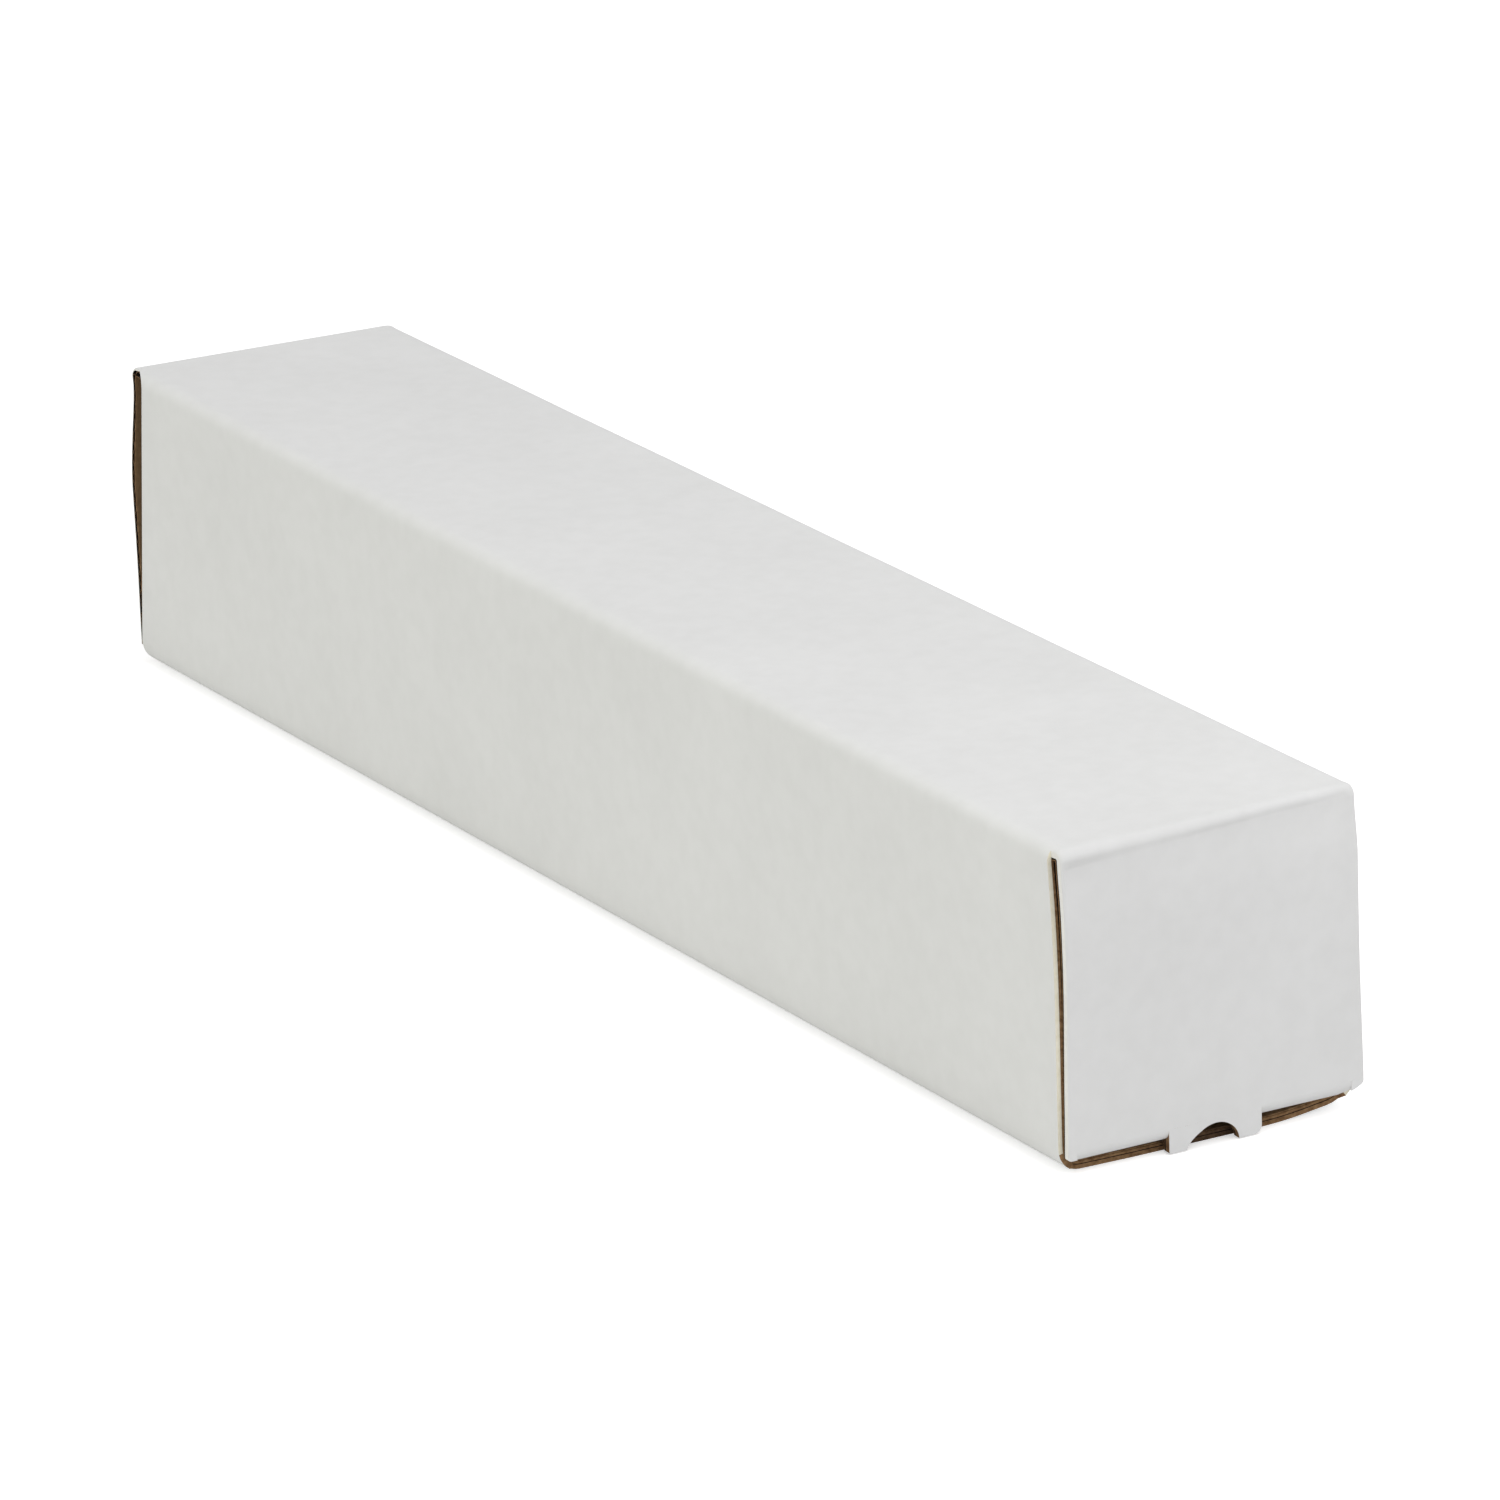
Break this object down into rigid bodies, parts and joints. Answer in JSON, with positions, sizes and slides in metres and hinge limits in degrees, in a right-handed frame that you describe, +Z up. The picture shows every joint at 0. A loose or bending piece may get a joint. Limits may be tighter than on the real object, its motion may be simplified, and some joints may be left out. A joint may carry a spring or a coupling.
{
  "type": "long cardboard box",
  "caption": "Long square white corrugated mailing box with an end flap at each end that tucks in over the bottom panel and has a tab with a thumb notch",
  "frame": {"origin": "middle of the base, on the surface the box stands on", "axes": "+X along the length towards the near end, +Y across the box, +Z up"},
  "size_m": [0.6678, 0.112, 0.111],
  "materials": {
    "white_board": "white-lined corrugated board, matt, with brown raw edges"
  },
  "bodies": {
    "sleeve": {"sleeve": "white_board"},
    "near_end_flap": {"near_end_flap": "white_board"},
    "far_end_flap": {"far_end_flap": "white_board"}
  },
  "joints": [
    {"name": "near_flap_hinge", "type": "hinge", "parent": "sleeve", "child": "near_end_flap", "pos_m": [0.33295, 0, 0.10985], "axis": [0, -1, 0], "range_deg": [0, 180]},
    {"name": "far_flap_hinge", "type": "hinge", "parent": "sleeve", "child": "far_end_flap", "pos_m": [-0.33295, 0, 0.10985], "axis": [0, 1, 0], "range_deg": [0, 180]}
  ]
}
